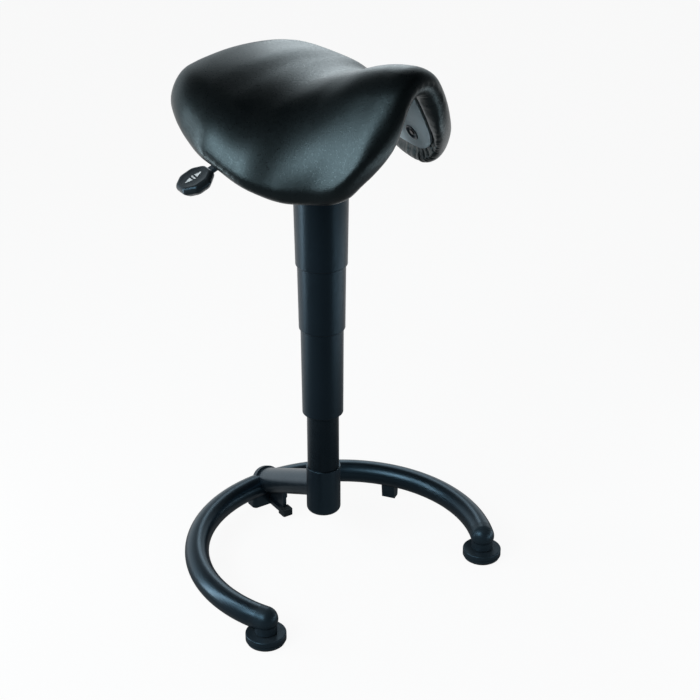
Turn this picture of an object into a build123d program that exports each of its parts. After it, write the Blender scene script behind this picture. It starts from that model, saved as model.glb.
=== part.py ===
from build123d import *
from math import asin, atan2, cos, degrees, hypot, radians, sin
import os

# Sit-stand stool: C-shaped tube base, telescopic gas column, saddle seat that swivels.
# Millimetres. Origin on the floor under the middle of the overall box, +Z up, open front towards -Y.
# Each piece is drawn about the column axis, and moved forward with it when it is saved.

column_forward = 8.0

# Base ring
ring_radius = 228.0
ring_diameter = 38.0
ring_wall = 2.5
ring_height = 40.0
ring_offset = 50.0
ring_tube_half_arc = 115.0
end_cap_arc = 2.5

# Arm from the back of the ring up to the column socket
arm_diameter = 42.4
arm_wall = 2.6
arm_height_at_ring = 44.0
arm_height_at_column = 128.5
arm_cap_diameter = 49.0
arm_cap_length = 14.0
arm_cap_sleeve = 4.0
arm_cap_round = 9.0

# Socket and outer column tube
socket_wall = 2.0
socket_bottom = 80.0
socket_top = 161.0
socket_floor = 4.0
socket_round = 8.0
column_diameter = 50.0
column_wall = 2.0
column_top = 390.0
column_web_height = 98.0
column_web = 4.0

# Gas spring
pressure_diameter = 28.0
pressure_wall = 1.5
pressure_overlap = 72.0
pressure_plug = 14.0
rod_diameter = 10.0
rod_step_diameter = 8.0
rod_bottom = 92.0
gland_length = 14.0
piston_gap = 8.0
piston_length = 16.0
piston_cover = 4.0
bush_length = 56.0
bush_flange = 3.0
bush_flange_diameter = 49.0
race_diameter = 26.0
race_thickness = 2.0
bearing_ball = 4.0
bearing_pitch = 18.0
bearing_balls_count = 8
clip_diameter = 16.0
clip_thickness = 2.0
buffer_height = 5.0
buffer_diameter = 24.0
valve_pin_diameter = 8.0
valve_pin_overlap = 10.0

# Telescopic covers, from the lowest to the highest
cover_wall = 1.5
cover_bead = 0.65
cover_bead_height = 2.0
cover_lip = 3.0
cover_edge_round = 2.0
lower_cover_bottom = 257.0
lower_cover_radius = 31.85
lower_cover_taper = 1.0
middle_cover_bottom = 401.0
middle_cover_taper = 1.3
upper_cover_bottom = 505.0
upper_cover_taper = 1.8
upper_cover_top = 617.0
upper_web = 3.0
upper_web_drop = 3.0
upper_collar_length = 18.0
upper_collar_wall = 4.0
rim_notch_width = 7.0
rim_notch_depth = 5.0

# Feet
pad_diameter = 61.0
pad_foot_diameter = 57.0
pad_band_height = 6.0
pad_height = 17.5
pad_round = 2.0
pad_groove = 0.8
pad_groove_height = 9.5
sole_diameter = 52.0
sole_thickness = 4.0
stud_ball_diameter = 16.0
stud_ball_height = 12.0
stud_neck_diameter = 10.0
stud_shank_diameter = 8.0
stud_shank_length = 14.0
end_boss_diameter = 34.0
end_boss_drop = 1.5
end_plug_arc = 4.5
side_foot_angle = 55.0
side_foot_length = 23.0
side_foot_top_width = 24.0
side_foot_bottom_width = 15.0
side_foot_top = 34.0
stop_reach = 66.0
stop_width = 14.0
stop_web = 6.0
stop_web_reach = 57.0
stop_thickness = 7.0
stop_floor_gap = 10.0
stop_flange_width = 68.0
stop_flange_depth = 27.0
stop_flange_bottom = 5.0
stop_flange_corner = 7.0
stop_pad_length = 17.0
stop_pad_wall = 2.0
stop_pad_round = 3.0

# Seat: each station is (forward, crest height, shoulder half width, shoulder height,
# edge half width, edge height, padding depth)
seat_swivel = 18.45
seat_stations = [
    (-188, 785, 46, 781, 79, 760, 18),
    (-172, 800, 83, 794, 124, 755, 31),
    (-145, 804, 102, 796, 151, 743, 40),
    (-100, 804, 118, 790, 176, 723, 43),
    (-50, 795, 122, 780, 192, 708, 44),
    (0, 790, 110, 771, 190, 689, 43),
    (50, 802, 86, 776, 170, 673, 38),
    (100, 820, 70, 791, 141, 669, 35),
    (128, 826, 62, 796, 129, 681, 33),
    (152, 828, 56, 800, 108, 709, 30),
    (169, 825, 48, 801, 81, 736, 25),
    (180, 817, 36, 802, 57, 772, 15),
]
edge_roll = 7.0
shell_wall = 4.0
shell_reach = 0.9
shell_rear_inset = 14.0
shell_front_inset = 40.0
shell_low = 682.0
shell_corner = 34.0
shell_boss_diameter = 18.0
shell_boss_bite = 2.0
flap_screw_stations_from_front = 5
flap_screw_share = 0.58
flap_screw_recess = 20.0
flap_recess_floor = 0.5
flap_screw_head = 9.0
flap_screw_head_height = 3.0

# Seat mechanism
plate_top = 720.0
plate_thickness = 4.0
plate_length = 130.0
plate_width = 116.0
plate_corner = 14.0
plate_hole_diameter = 20.0
bolt_spacing_long = 96.0
bolt_spacing_wide = 76.0
bolt_diameter = 6.0
bolt_head_diameter = 13.0
bolt_head_height = 5.0
bolt_grip = 10.0
hub_bottom = 660.0
hub_diameter = 46.0
hub_flange_diameter = 68.0
hub_flange = 5.0
pressure_top_gap = 8.0

# Height lever, in its own vertical plane
lever_bearing = 112.1
lever_width = 12.0
lever_thickness = 6.0
lever_pivot_reach = 40.0
lever_pivot_rise = 7.0
lever_eye_diameter = 11.0
lever_nose = 8.0
lever_level_reach = 76.0
paddle_reach = 197.0
paddle_height = 670.0
paddle_length = 52.0
paddle_width = 55.0
paddle_thickness = 13.5
paddle_corner = 15.0
paddle_bevel = 3.0
paddle_grip = 18.0
ear_thickness = 4.0
ear_top_wall = 5.0
ear_length = 18.0
pivot_diameter = 6.0
pivot_overhang = 2.0

# Clearances
running_gap = 0.05
fixed_gap = 0.05
soft_gap = 0.4
cover_gap = 0.3
lever_side_gap = 1.0
nose_gap = 0.4
screw_gap = 0.2

ring_centre = Vector(0, -ring_offset, 0)
ring_axis = Axis((0, -ring_offset, 0), (0, 0, 1))
ring_back = ring_radius - ring_offset
glide_half_arc = ring_tube_half_arc + end_cap_arc
column_radius = column_diameter / 2
column_bore = column_radius - column_wall
socket_bore = column_radius + fixed_gap
socket_radius = socket_bore + socket_wall
column_foot = socket_bottom + socket_floor
pressure_bottom = column_top - pressure_overlap
piston_bottom = pressure_bottom + gland_length + piston_gap
pressure_radius = pressure_diameter / 2
pressure_bore = pressure_radius - pressure_wall
plate_bottom = plate_top - plate_thickness
lever_pivot_height = plate_top + lever_pivot_rise
pressure_top = plate_bottom - pressure_top_gap
race_low = column_web_height + column_web
ball_low = race_low + race_thickness + running_gap
race_high = ball_low + bearing_ball + running_gap
rod_shoulder = race_high + race_thickness
lower_cover_top_radius = lower_cover_radius + lower_cover_taper
middle_cover_radius = lower_cover_top_radius + cover_bead + cover_gap + cover_wall
middle_cover_top_radius = middle_cover_radius + middle_cover_taper
upper_cover_radius = middle_cover_top_radius + cover_bead + cover_gap + cover_wall
seat_place = Rot(0, 0, seat_swivel)


def turned(points):
    """A solid of revolution about the column axis from (radius, height) corners"""
    return revolve(Plane.XZ * make_face(Polyline(*points, close=True)), Axis.Z)


def disc(radius, low, high, bore=0.0):
    """A round plate or sleeve on the column axis"""
    solid = Pos(0, 0, low) * extrude(Circle(radius), high - low)
    if bore:
        solid -= Pos(0, 0, low) * extrude(Circle(bore), high - low)
    return solid


def ring_point(angle, height=ring_height):
    """A point on the ring's centreline, by its angle from the back, sitter's left positive"""
    turn = radians(angle)
    return ring_centre + Vector(ring_radius * sin(turn), ring_radius * cos(turn), height)


def ring_arc(radius, first, last):
    """A bent round bar on the ring's centreline between two angles from the back"""
    start = 90 - last
    profile = Plane.XZ * Pos(ring_radius, ring_height) * Circle(radius)
    bar = revolve(profile, Axis.Z, last - first)
    return Pos(*ring_centre) * Rot(0, 0, start) * bar


def arm_place():
    """The arm's frame: origin on the ring's back, local Z up along the arm to the column"""
    rise = arm_height_at_column - arm_height_at_ring
    along = Vector(0, -ring_back, rise)
    return Plane(origin=(0, ring_back, arm_height_at_ring), x_dir=(1, 0, 0), z_dir=along)


def arm_length():
    """Length of the arm's axis from the ring's centreline to the column axis"""
    return hypot(ring_back, arm_height_at_column - arm_height_at_ring)


def base_ring():
    """C-shaped steel tube, open to the front"""
    outer = ring_diameter / 2
    arc = ring_tube_half_arc
    return ring_arc(outer, -arc, arc) - ring_arc(outer - ring_wall, -arc, arc)


def ring_core():
    """The full round bar that the ring's outside follows"""
    return ring_arc(ring_diameter / 2, -ring_tube_half_arc, ring_tube_half_arc)


def arm_tube():
    """Straight tube, coped to the ring and to the socket"""
    outer = arm_diameter / 2
    length = arm_length()
    tube = extrude(Circle(outer), length) - extrude(Circle(outer - arm_wall), length)
    tube = arm_place() * tube - ring_core()
    return tube - disc(socket_radius, 0, socket_top + arm_diameter)


def arm_cap_body():
    """The full outline of the arm's end cap, before it is hollowed"""
    length = arm_cap_length + arm_cap_sleeve
    cap = Pos(0, 0, arm_cap_sleeve) * extrude(Circle(arm_cap_diameter / 2), -length)
    cap = fillet(cap.edges().group_by(Axis.Z)[0], arm_cap_round)
    return arm_place() * cap


def arm_end_cap():
    """Domed cap over the arm's lower end, behind the ring"""
    bore = arm_place() * extrude(Circle(arm_diameter / 2 + fixed_gap), 2 * arm_cap_sleeve)
    cap = arm_cap_body() - bore - ring_core()
    return cap.solids().sort_by(SortBy.VOLUME)[-1]


def column_socket():
    """Round cup that holds the foot of the column tube"""
    cup = disc(socket_radius, socket_bottom, socket_top)
    cup = fillet(cup.edges().group_by(Axis.Z)[0], socket_round)
    lip = cup.edges().group_by(Axis.Z)[-1]
    cup = fillet(lip, socket_wall / 3)
    return cup - disc(socket_bore, column_foot, socket_top + 1)


def column_tube():
    """Outer tube of the gas spring, with the web that carries the bearing"""
    tube = disc(column_radius, column_foot, column_top, column_bore)
    web_top = column_web_height + column_web
    return tube + disc(column_bore, column_web_height, web_top, rod_step_diameter / 2 + running_gap)


def guide_bush():
    """Plastic bush in the top of the column tube that guides the pressure tube"""
    bore = pressure_radius + running_gap
    sleeve = disc(column_bore - fixed_gap, column_top - bush_length, column_top, bore)
    return sleeve + disc(bush_flange_diameter / 2, column_top, column_top + bush_flange, bore)


def bearing_race(low):
    """One flat washer of the thrust bearing"""
    bore = rod_step_diameter / 2 + running_gap
    return disc(race_diameter / 2, low, low + race_thickness, bore)


def bearing_balls():
    """Ring of bearing balls between the two races"""
    middle = ball_low + bearing_ball / 2
    spots = PolarLocations(bearing_pitch / 2, bearing_balls_count)
    return [Pos(0, 0, middle) * spot * Sphere(bearing_ball / 2) for spot in spots]


def piston_rod():
    """Stepped rod from the retaining clip up into the piston"""
    step = disc(rod_step_diameter / 2, rod_bottom, rod_shoulder)
    return step + disc(rod_diameter / 2, rod_shoulder, piston_bottom + piston_length - piston_cover)


def rod_clip():
    """Retaining clip under the column's web"""
    top = column_web_height - running_gap
    return disc(clip_diameter / 2, top - clip_thickness, top, rod_step_diameter / 2)


def rod_buffer():
    """Rubber ring that the pressure tube meets at the bottom of its stroke"""
    bore = rod_diameter / 2 + fixed_gap
    return disc(buffer_diameter / 2, rod_shoulder, rod_shoulder + buffer_height, bore)


def piston():
    """Piston on the top of the rod, inside the pressure tube"""
    radius = pressure_bore - running_gap
    body = disc(radius, piston_bottom, piston_bottom + piston_length)
    return body - disc(rod_diameter / 2, piston_bottom, piston_bottom + piston_length - piston_cover)


def pressure_tube():
    """Sliding tube of the gas spring, closed at the top by the valve plug"""
    tube = disc(pressure_radius, pressure_bottom, pressure_top, pressure_bore)
    plug_low = pressure_top - pressure_plug
    return tube + disc(pressure_bore, plug_low, pressure_top, valve_pin_diameter / 2 + running_gap)


def rod_gland():
    """Seal and guide at the bottom of the pressure tube"""
    radius = pressure_bore - fixed_gap
    bore = rod_diameter / 2 + running_gap
    return disc(radius, pressure_bottom, pressure_bottom + gland_length, bore)


def valve_pin():
    """Release pin in the top of the pressure tube"""
    top = lever_pivot_height - lever_thickness / 2 - nose_gap
    return disc(valve_pin_diameter / 2, pressure_top - valve_pin_overlap, top)


def cover(low, high, radius, taper, lip_radius, beaded):
    """A tapered telescopic cover with an inward lip below and a bead above"""
    top = radius + taper
    bottom_bore = radius - cover_wall
    top_bore = top - cover_wall
    corners = [
        (lip_radius, low),
        (radius, low),
        (top, high),
    ]
    if beaded:
        bead_low = high - cover_bead_height
        corners[2] = (top, bead_low)
        corners += [(top + cover_bead, bead_low), (top + cover_bead, high)]
    corners += [(top_bore, high), (bottom_bore, low + cover_lip), (lip_radius, low + cover_lip)]
    solid = turned(corners)
    rim = solid.edges().filter_by(GeomType.CIRCLE).sort_by(lambda e: abs(e.radius - radius) + e.center().Z - low)
    return fillet(rim[0], cover_edge_round)


def lower_cover_top():
    return middle_cover_bottom + cover_lip + cover_gap + cover_bead_height


def middle_cover_top():
    return upper_cover_bottom + cover_lip + cover_gap + cover_bead_height


def cover_lower():
    """Narrowest cover, guided on the column tube"""
    lip = column_radius + cover_gap
    return cover(lower_cover_bottom, lower_cover_top(), lower_cover_radius, lower_cover_taper, lip, True)


def cover_middle():
    """Middle cover, hung from the upper one"""
    lip = lower_cover_top_radius + cover_gap
    return cover(middle_cover_bottom, middle_cover_top(), middle_cover_radius, middle_cover_taper, lip, True)


def cover_upper():
    """Widest cover, with a web and collar on the pressure tube and a notch in its rim"""
    lip = middle_cover_top_radius + cover_gap
    solid = cover(upper_cover_bottom, upper_cover_top, upper_cover_radius, upper_cover_taper, lip, False)
    web_top = upper_cover_top - upper_web_drop
    web_radius = upper_cover_radius + upper_cover_taper / 2
    collar_bore = pressure_radius + fixed_gap
    solid += disc(web_radius, web_top - upper_web, web_top, collar_bore)
    solid += disc(collar_bore + upper_collar_wall, web_top - upper_collar_length, web_top, collar_bore)
    notch_middle = upper_cover_radius + upper_cover_taper
    notch = Box(rim_notch_width, 4 * cover_wall, 2 * rim_notch_depth)
    return seat_place * (solid - Rot(0, 0, 180) * Pos(0, notch_middle, upper_cover_top) * notch)


def end_point(side):
    return ring_point(side * glide_half_arc)


def ring_end_cap(side):
    """Domed plug in a ring end, with the boss that holds the glide's stud"""
    outer = ring_diameter / 2
    plug = ring_arc(outer - ring_wall - fixed_gap, ring_tube_half_arc - end_plug_arc, ring_tube_half_arc)
    collar = ring_arc(outer, ring_tube_half_arc, glide_half_arc)
    end = end_point(1)
    boss_low = ring_height - outer - end_boss_drop
    boss = Pos(end.X, end.Y, boss_low) * extrude(Circle(end_boss_diameter / 2), ring_height - boss_low)
    head = collar + Pos(*end) * Sphere(outer) + boss - ring_core()
    shank = Pos(end.X, end.Y, boss_low) * extrude(Circle(stud_shank_diameter / 2), stud_shank_length)
    cap = plug + head - shank
    return cap if side > 0 else mirror(cap, Plane.YZ)


def glide_stud(side):
    """Ball stud that joins a ring end to its glide"""
    end = end_point(side)
    boss_low = ring_height - ring_diameter / 2 - end_boss_drop
    ball = Pos(0, 0, stud_ball_height) * Sphere(stud_ball_diameter / 2)
    neck = disc(stud_neck_diameter / 2, stud_ball_height, boss_low)
    shank = disc(stud_shank_diameter / 2, boss_low, boss_low + stud_shank_length)
    return Pos(end.X, end.Y, 0) * (ball + neck + shank)


def glide_pad(side):
    """Round glide with a tapered foot, a groove and a ball socket"""
    end = end_point(side)
    outer = pad_diameter / 2
    foot = pad_foot_diameter / 2
    groove_low = pad_groove_height - pad_groove / 2
    groove_high = pad_groove_height + pad_groove / 2
    body = turned([
        (0, sole_thickness / 2),
        (foot, sole_thickness / 2),
        (outer, pad_band_height),
        (outer, groove_low),
        (outer - pad_groove, groove_low),
        (outer - pad_groove, groove_high),
        (outer, groove_high),
        (outer, pad_height),
        (0, pad_height),
    ])
    body = fillet(body.edges().group_by(Axis.Z)[-1], pad_round)
    body -= Pos(0, 0, stud_ball_height) * Sphere(stud_ball_diameter / 2 + running_gap)
    body -= disc(sole_diameter / 2, 0, sole_thickness)
    return Pos(end.X, end.Y, 0) * body


def glide_sole(side):
    """Felt disc let into the underside of a glide"""
    end = end_point(side)
    ball_low = stud_ball_height - stud_ball_diameter / 2 - running_gap
    sole = disc(sole_diameter / 2 - fixed_gap, 0, min(sole_thickness, ball_low))
    return Pos(end.X, end.Y, 0) * sole


def side_foot(side):
    """Wedge foot clipped under the ring"""
    place = ring_point(side * side_foot_angle, 0)
    outline = Polyline(
        (-side_foot_bottom_width / 2, 0),
        (side_foot_bottom_width / 2, 0),
        (side_foot_top_width / 2, side_foot_top),
        (-side_foot_top_width / 2, side_foot_top),
        close=True,
    )
    wedge = extrude(Plane.YZ * make_face(outline), side_foot_length / 2, both=True)
    return Pos(*place) * Rot(0, 0, -side * side_foot_angle) * wedge - ring_core()


def stop_tip():
    return ring_back - stop_reach


def stop_tongue(gap):
    """The stop's flat tongue, grown by a gap on its free faces"""
    tip = stop_tip()
    size = (stop_width + 2 * gap, stop_reach + gap, stop_thickness + 2 * gap)
    middle = (0, (ring_back + tip - gap) / 2, stop_floor_gap + stop_thickness / 2)
    return Pos(*middle) * Box(*size)


def rear_stop():
    """Anti-tip stop: a flange under the ring, a tongue just off the floor and an upright web"""
    flange_top = ring_height - ring_diameter / 4
    height = flange_top - stop_flange_bottom
    outline = RectangleRounded(stop_flange_width, stop_flange_depth, stop_flange_corner)
    flange = Pos(0, ring_back, stop_flange_bottom) * extrude(outline, height)
    web = Polyline(
        (ring_back - stop_web_reach, stop_floor_gap),
        (ring_back, stop_floor_gap),
        (ring_back, arm_height_at_ring),
        (ring_back - stop_web_reach, arm_height_at_column / 2),
        close=True,
    )
    bracket = flange + stop_tongue(0) + extrude(Plane.YZ * make_face(web), stop_web / 2, both=True)
    arm = arm_place() * extrude(Circle(arm_diameter / 2), arm_length())
    behind = Pos(0, ring_back + ring_radius / 2, 0) * Box(ring_radius, ring_radius, 4 * ring_height)
    bracket -= behind - Pos(0, ring_back, 0) * extrude(outline, ring_height - ring_diameter / 2)
    return bracket - ring_core() - arm - arm_cap_body()


def rear_stop_pad():
    """Rubber shoe pushed over the tongue's tip"""
    width = stop_width + 2 * (stop_pad_wall + fixed_gap)
    height = stop_thickness + 2 * (stop_pad_wall + fixed_gap)
    front = stop_tip() - stop_pad_wall - fixed_gap
    middle = (0, front + stop_pad_length / 2, stop_floor_gap + stop_thickness / 2)
    shoe = Pos(*middle) * Box(width, stop_pad_length, height)
    shoe = fillet(shoe.edges().filter_by(Axis.Z).group_by(Axis.Y)[0], stop_pad_round)
    web_gap = Pos(0, ring_back, stop_floor_gap + ring_height / 2)
    web_room = Box(stop_web + 2 * fixed_gap, 2 * (stop_web_reach + fixed_gap), ring_height)
    return shoe - stop_tongue(fixed_gap) - web_gap * web_room


class Arch:
    """The saddle's cross-section at one station: a crest arc that runs on into two flank arcs"""

    def __init__(self, station):
        self.forward, crest, shoulder, shoulder_z, edge, edge_z, self.padding = station
        drop = crest - shoulder_z
        self.crest_radius = (shoulder**2 + drop**2) / (2 * drop)
        self.crest_z = crest - self.crest_radius
        self.shoulder_turn = asin(shoulder / self.crest_radius)
        inward = Vector(-sin(self.shoulder_turn), -cos(self.shoulder_turn))
        chord = Vector(edge - shoulder, edge_z - shoulder_z)
        self.flank_radius = chord.dot(chord) / (2 * chord.dot(inward))
        self.flank_centre = Vector(shoulder, shoulder_z) + inward * self.flank_radius
        reach = Vector(edge, edge_z) - self.flank_centre
        self.edge_turn = atan2(reach.X, reach.Y)
        self.plane = Plane(origin=(0, -self.forward, 0), x_dir=(1, 0, 0), z_dir=(0, -1, 0))

    def turn_at(self, share):
        """Direction on the flank, from the shoulder at 0 to the edge at 1"""
        return self.shoulder_turn + share * (self.edge_turn - self.shoulder_turn)

    def flank_point(self, share, depth):
        turn = self.turn_at(share)
        return self.flank_centre + Vector(sin(turn), cos(turn)) * (self.flank_radius - depth)

    def flank(self, depth, reach):
        """One flank's arc, on the sitter's left, from shoulder to edge"""
        points = [self.flank_point(share, depth) for share in (0, reach / 2, reach)]
        return [(p.X, p.Y) for p in points]

    def lines(self, depth, reach):
        """The whole arch at a depth under the top, as three arcs from right edge to left edge"""
        start, middle, end = self.flank(depth, reach)
        top = self.crest_z + self.crest_radius - depth
        return [
            ThreePointArc((-end[0], end[1]), (-middle[0], middle[1]), (-start[0], start[1])),
            ThreePointArc((-start[0], start[1]), (0, top), start),
            ThreePointArc(start, middle, end),
        ]

    def band(self, low, high, reach, roll):
        """Closed face between two depths, with rolled edges if roll is more than nothing"""
        outer = self.lines(high, reach)
        inner = self.lines(low, reach)
        edges = outer + inner
        turn = self.turn_at(reach)
        down = Vector(cos(turn), -sin(turn)) * roll
        for side in (1, -1):
            first = self.flank_point(reach, high)
            last = self.flank_point(reach, low)
            middle = (first + last) / 2 + down
            ends = [(side * p.X, p.Y) for p in (first, middle, last)]
            edges.append(ThreePointArc(*ends) if roll else Line(ends[0], ends[2]))
        return self.plane * make_face(edges)

    def below(self, depth, reach, floor):
        """Closed face under the arch at a depth, down to a level floor"""
        arcs = self.lines(depth, reach)
        end = self.flank_point(reach, depth)
        sides = [Line((end.X, end.Y), (end.X, floor)), Line((-end.X, floor), (-end.X, end.Y))]
        return self.plane * make_face(arcs + sides + [Line((end.X, floor), (-end.X, floor))])


arches = [Arch(station) for station in seat_stations]


def seat_cushion():
    """Padded saddle: high broad rear, dip, raised pommel and two flaps with rolled edges"""
    return seat_place * loft([arch.band(arch.padding, 0, 1, edge_roll) for arch in arches])


def bolt_spots():
    return GridLocations(bolt_spacing_wide, bolt_spacing_long, 2, 2)


def shell_depth(arch, share):
    """Depth under the saddle's top at a share of the shell's wall"""
    return arch.padding + soft_gap + share * shell_wall


def flap_screw_places():
    """Frames of the two flap screws on their recess floors, local Z out of the shell"""
    station = len(arches) - flap_screw_stations_from_front
    before, arch, after = arches[station - 1:station + 2]
    share = flap_screw_share
    floor = flap_recess_floor
    spot = arch.flank_point(share, shell_depth(arch, floor))
    first = before.flank_point(share, shell_depth(before, floor))
    last = after.flank_point(share, shell_depth(after, floor))
    along = Vector(last.X - first.X, before.forward - after.forward, last.Y - first.Y)
    turn = arch.turn_at(share)
    down = Vector(cos(turn), 0, -sin(turn))
    out = along.cross(down).normalized()
    if out.X > 0:
        out = -out
    places = []
    for side in (1, -1):
        origin = (side * spot.X, -arch.forward, spot.Y)
        places.append(Plane(origin=origin, z_dir=(side * out.X, out.Y, out.Z)))
    return places


def seat_shell():
    """Moulded pan under the cushion, with four screw bosses and a screw recess in each flap"""
    pan = loft([arch.band(shell_depth(arch, 1), shell_depth(arch, 0), shell_reach, 0) for arch in arches])
    bite = shell_boss_bite / shell_wall
    room = loft([arch.below(shell_depth(arch, 1 - bite), shell_reach, hub_bottom) for arch in arches])
    rear = seat_stations[0][0] + shell_rear_inset
    front = seat_stations[-1][0] - shell_front_inset
    top = max(station[1] for station in seat_stations)
    side_view = Rectangle(front - rear, 2 * (top - shell_low))
    side_view = fillet(side_view.vertices().group_by(Axis.Y)[0], shell_corner)
    trim = extrude(Plane.YZ * Pos(-(front + rear) / 2, top) * side_view, top / 2, both=True)
    pan &= trim
    tall = top - plate_top
    for spot in bolt_spots():
        post = spot * Pos(0, 0, plate_top) * extrude(Circle(shell_boss_diameter / 2), tall)
        pan += post & room
    hole = bolt_diameter / 2 + fixed_gap
    for spot in bolt_spots():
        pan -= spot * Pos(0, 0, plate_top) * extrude(Circle(hole), bolt_grip)
    for place in flap_screw_places():
        pan -= place * extrude(Circle(flap_screw_recess / 2), 2 * shell_wall)
    return seat_place * pan


def flap_screws():
    """Domed screw heads in the flap recesses"""
    screws = []
    for place in flap_screw_places():
        head = extrude(Circle(flap_screw_head / 2), flap_screw_head_height)
        head = fillet(head.edges().group_by(Axis.Z)[-1], flap_screw_head_height / 2)
        screws.append(seat_place * (place * head))
    return screws


def lever_place():
    """The lever's frame: local X outwards along the lever, local Y up, Z across it"""
    turn = radians(seat_swivel - 90 - lever_bearing)
    outward = Vector(cos(turn), sin(turn), 0)
    return Plane(origin=(0, 0, 0), x_dir=outward, z_dir=outward.cross(Vector(0, 0, 1)))


def lever_slope():
    """Downward slope of the lever's outer run, in degrees"""
    return degrees(atan2(lever_pivot_height - paddle_height, paddle_reach - lever_level_reach))


def seat_plate():
    """Steel plate with the hub's flange under it and the lever's two ears on it"""
    outline = RectangleRounded(plate_width, plate_length, plate_corner)
    plate = Pos(0, 0, plate_bottom) * extrude(outline, plate_thickness)
    plate -= disc(plate_hole_diameter / 2, plate_bottom, plate_top)
    hole = bolt_diameter / 2 + screw_gap
    for spot in bolt_spots():
        plate -= spot * Pos(0, 0, plate_bottom) * extrude(Circle(hole), plate_thickness)
    plate = seat_place * plate
    ear_top = lever_pivot_height + ear_top_wall
    middle = (plate_top + ear_top) / 2
    ear = Pos(lever_pivot_reach, middle) * RectangleRounded(ear_length, ear_top - plate_top, 1)
    inside = lever_width / 2 + lever_side_gap
    for side in (1, -1):
        wall = extrude(ear - pivot_circle(fixed_gap), ear_thickness)
        shift = inside if side > 0 else -inside - ear_thickness
        plate += lever_place() * Pos(0, 0, shift) * wall
    return plate


def pivot_circle(gap):
    return Pos(lever_pivot_reach, lever_pivot_height) * Circle(pivot_diameter / 2 + gap)


def lever_pivot_pin():
    """Pin through the two ears"""
    half = lever_width / 2 + lever_side_gap + ear_thickness + pivot_overhang
    return lever_place() * extrude(pivot_circle(0), half, both=True)


def lever_arm():
    """Flat steel lever: a nose over the valve pin, a pivot eye and a sloping outer run"""
    half = lever_thickness / 2
    slope = radians(lever_slope())
    across = Vector(sin(slope), cos(slope)) * half
    end = Vector(paddle_reach - (paddle_length / 2 - paddle_grip) * cos(slope), 0)
    end = Vector(end.X, paddle_height + (paddle_length / 2 - paddle_grip) * sin(slope))
    corners = [
        (-lever_nose, lever_pivot_height - half),
        (lever_level_reach - half * slope, lever_pivot_height - half),
        (end.X - across.X, end.Y - across.Y),
        (end.X + across.X, end.Y + across.Y),
        (lever_level_reach + half * slope, lever_pivot_height + half),
        (-lever_nose, lever_pivot_height + half),
    ]
    bar = make_face(Polyline(*corners, close=True))
    eye = Pos(lever_pivot_reach, lever_pivot_height) * Circle(lever_eye_diameter / 2)
    profile = bar + eye - pivot_circle(running_gap)
    return lever_place() * extrude(profile, lever_width / 2, both=True)


def lever_paddle():
    """Bevelled hand paddle with cut corners on the lever's outer end"""
    outline = Rectangle(paddle_length, paddle_width)
    outline = chamfer(outline.vertices(), paddle_corner)
    body = extrude(outline, paddle_thickness / 2, both=True)
    body = chamfer(body.faces().filter_by(Axis.Z).edges(), paddle_bevel)
    pocket = Box(paddle_grip + fixed_gap, lever_width + 2 * fixed_gap, lever_thickness + 2 * fixed_gap)
    body -= Pos((paddle_grip + fixed_gap - paddle_length) / 2, 0, 0) * pocket
    tilt = Pos(paddle_reach, paddle_height, 0) * Rot(0, 0, -lever_slope()) * Rot(-90, 0, 0)
    return lever_place() * tilt * body


def seat_hub():
    """Flanged sleeve under the seat plate that grips the pressure tube"""
    bore = pressure_radius + fixed_gap
    sleeve = disc(hub_diameter / 2, hub_bottom, plate_bottom - hub_flange, bore)
    sleeve = chamfer(sleeve.edges().group_by(Axis.Z)[0].sort_by(SortBy.RADIUS)[-1], hub_flange / 2)
    return sleeve + disc(hub_flange_diameter / 2, plate_bottom - hub_flange, plate_bottom, bore)


def plate_bolts():
    """Four bolts through the plate into the shell's bosses"""
    bolts = []
    for spot in bolt_spots():
        head = disc(bolt_head_diameter / 2, plate_bottom - bolt_head_height, plate_bottom)
        head = fillet(head.edges().group_by(Axis.Z)[0], bolt_head_height / 2)
        shank = disc(bolt_diameter / 2, plate_bottom, plate_top + bolt_grip - fixed_gap)
        bolts.append(seat_place * (spot * (head + shank)))
    return bolts


def save(name, shape):
    """Write one named piece, or a group of like pieces, to its own file"""
    solids = shape if isinstance(shape, list) else [shape]
    loose = [Pos(0, -column_forward, 0) * solid for piece in solids for solid in piece.solids()]
    whole = loose[0] if len(loose) == 1 else Compound(children=loose)
    whole.label = name
    export_step(whole, os.path.join("parts", name + ".step"))
    print(f"{name}: {len(loose)} solids")


os.makedirs("parts", exist_ok=True)

pieces = {
    "base_ring": base_ring(),
    "arm_tube": arm_tube(),
    "arm_end_cap": arm_end_cap(),
    "column_socket": column_socket(),
    "column_tube": column_tube(),
    "guide_bush": guide_bush(),
    "bearing_race_lower": bearing_race(race_low),
    "bearing_race_upper": bearing_race(race_high),
    "bearing_balls": bearing_balls(),
    "rear_stop": rear_stop(),
    "rear_stop_pad": rear_stop_pad(),
    "piston_rod": piston_rod(),
    "rod_clip": rod_clip(),
    "rod_buffer": rod_buffer(),
    "piston": piston(),
    "pressure_tube": pressure_tube(),
    "rod_gland": rod_gland(),
    "valve_pin": valve_pin(),
    "cover_lower": cover_lower(),
    "cover_middle": cover_middle(),
    "cover_upper": cover_upper(),
    "seat_hub": seat_hub(),
    "seat_plate": seat_plate(),
    "plate_bolts": plate_bolts(),
    "seat_shell": seat_shell(),
    "flap_screws": flap_screws(),
    "seat_cushion": seat_cushion(),
    "lever_arm": lever_arm(),
    "lever_paddle": lever_paddle(),
    "lever_pivot_pin": lever_pivot_pin(),
}
for side, word in ((1, "left"), (-1, "right")):
    pieces["ring_end_cap_" + word] = ring_end_cap(side)
    pieces["glide_stud_" + word] = glide_stud(side)
    pieces["glide_pad_" + word] = glide_pad(side)
    pieces["glide_sole_" + word] = glide_sole(side)
    pieces["rear_side_foot_" + word] = side_foot(side)

for name, shape in pieces.items():
    save(name, shape)
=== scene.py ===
"""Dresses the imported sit-stand stool: upholstered saddle, telescopic column, C-shaped tube base."""

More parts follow.
